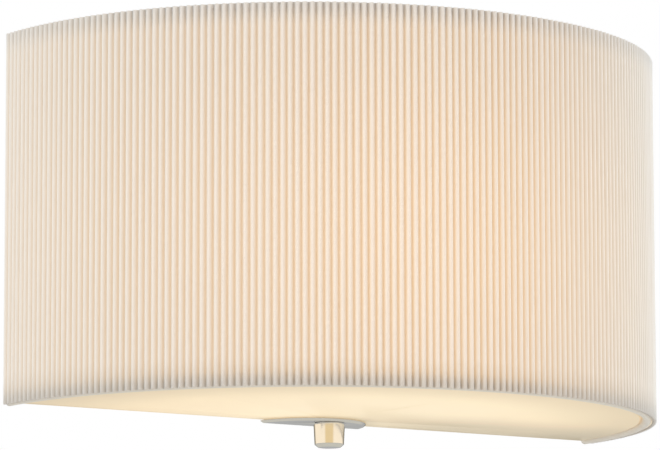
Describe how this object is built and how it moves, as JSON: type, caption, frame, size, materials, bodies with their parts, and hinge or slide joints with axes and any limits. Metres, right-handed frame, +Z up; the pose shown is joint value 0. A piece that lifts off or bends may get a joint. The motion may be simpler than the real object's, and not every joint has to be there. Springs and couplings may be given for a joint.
{
  "type": "fabric shade wall light",
  "caption": "Half-round wall light with a finely pleated fabric shade, an opal plate below it, a chrome half-disc and a screw-off finial.",
  "frame": {"origin": "on the wall plane, at the middle of the shade's width and height", "axes": "+X along the wall, +Y into the wall, +Z up; the shade bulges towards -Y"},
  "size_m": [0.3, 0.15, 0.1673],
  "materials": {
    "pleated_fabric": "ivory fabric in fine upright pleats",
    "liner": "translucent white lining",
    "hem_tape": "ivory tape",
    "frame_wire": "white coated steel wire",
    "opal_acrylic": "opal, satin",
    "foam": "soft white foam",
    "chrome": "polished",
    "white_steel": "white powder coat",
    "zinc": "bright zinc plate",
    "grommet_rubber": "black rubber",
    "terminal_plastic": "natural nylon",
    "brass": "plain",
    "brown_lead": "brown sleeve",
    "blue_lead": "blue sleeve",
    "green_lead": "green sleeve with a yellow stripe",
    "holder_plastic": "white moulding",
    "opal_glass": "opal glass",
    "black_glass": "black glass bead",
    "solder": "solder"
  },
  "bodies": {
    "wall_unit": {"backplate": "white_steel", "hanging_studs": "zinc", "lamp_arm": "white_steel", "shelf_bracket": "white_steel", "bracket_rivets": "zinc", "finial_stud": "zinc", "cable_grommet": "grommet_rubber", "terminal_block": "terminal_plastic", "terminal_screws": "zinc", "earth_tag": "brass", "earth_screw": "brass", "lead_live": "brown_lead", "lead_neutral": "blue_lead", "lead_earth": "green_lead", "holder_nipple": "zinc", "holder_nut": "zinc", "holder_cap": "holder_plastic", "holder_skirt": "holder_plastic", "holder_insert": "holder_plastic", "holder_shell": "brass", "holder_contact": "brass"},
    "shade": {"pleated_cover": "pleated_fabric", "shade_liner": "liner", "top_hem": "hem_tape", "bottom_hem": "hem_tape", "edge_bindings": "hem_tape", "top_ring": "frame_wire", "bottom_ring": "frame_wire", "side_struts": "frame_wire", "hanging_tabs": "frame_wire"},
    "lower_plate": {"diffuser": "opal_acrylic", "upper_gasket": "foam", "lower_gasket": "foam", "clamp_plate": "chrome"},
    "finial": {"finial": "chrome"},
    "lamp": {"lamp_glass": "opal_glass", "lamp_cap": "zinc", "lamp_insulator": "black_glass", "lamp_contact": "solder"}
  },
  "joints": [
    {"name": "shade_lift", "type": "slide", "parent": "wall_unit", "child": "shade", "axis": [0, 0, 1], "range_m": [0, 0.012]},
    {"name": "diffuser_drop", "type": "slide", "parent": "wall_unit", "child": "lower_plate", "axis": [0, 0, -1], "range_m": [0, 0.008]},
    {"name": "finial_turn", "type": "hinge", "parent": "lower_plate", "child": "finial", "pos_m": [0, -0.0172, -0.084], "axis": [0, 0, -1], "range_deg": [0, 2880]},
    {"name": "lamp_turn", "type": "hinge", "parent": "wall_unit", "child": "lamp", "pos_m": [0, -0.05, 0], "axis": [0, 0, -1], "range_deg": [0, 900]}
  ],
  "couplings": [
    {"joint": "finial_turn", "follows": "diffuser_drop", "rad_per_m": 6283.2}
  ]
}
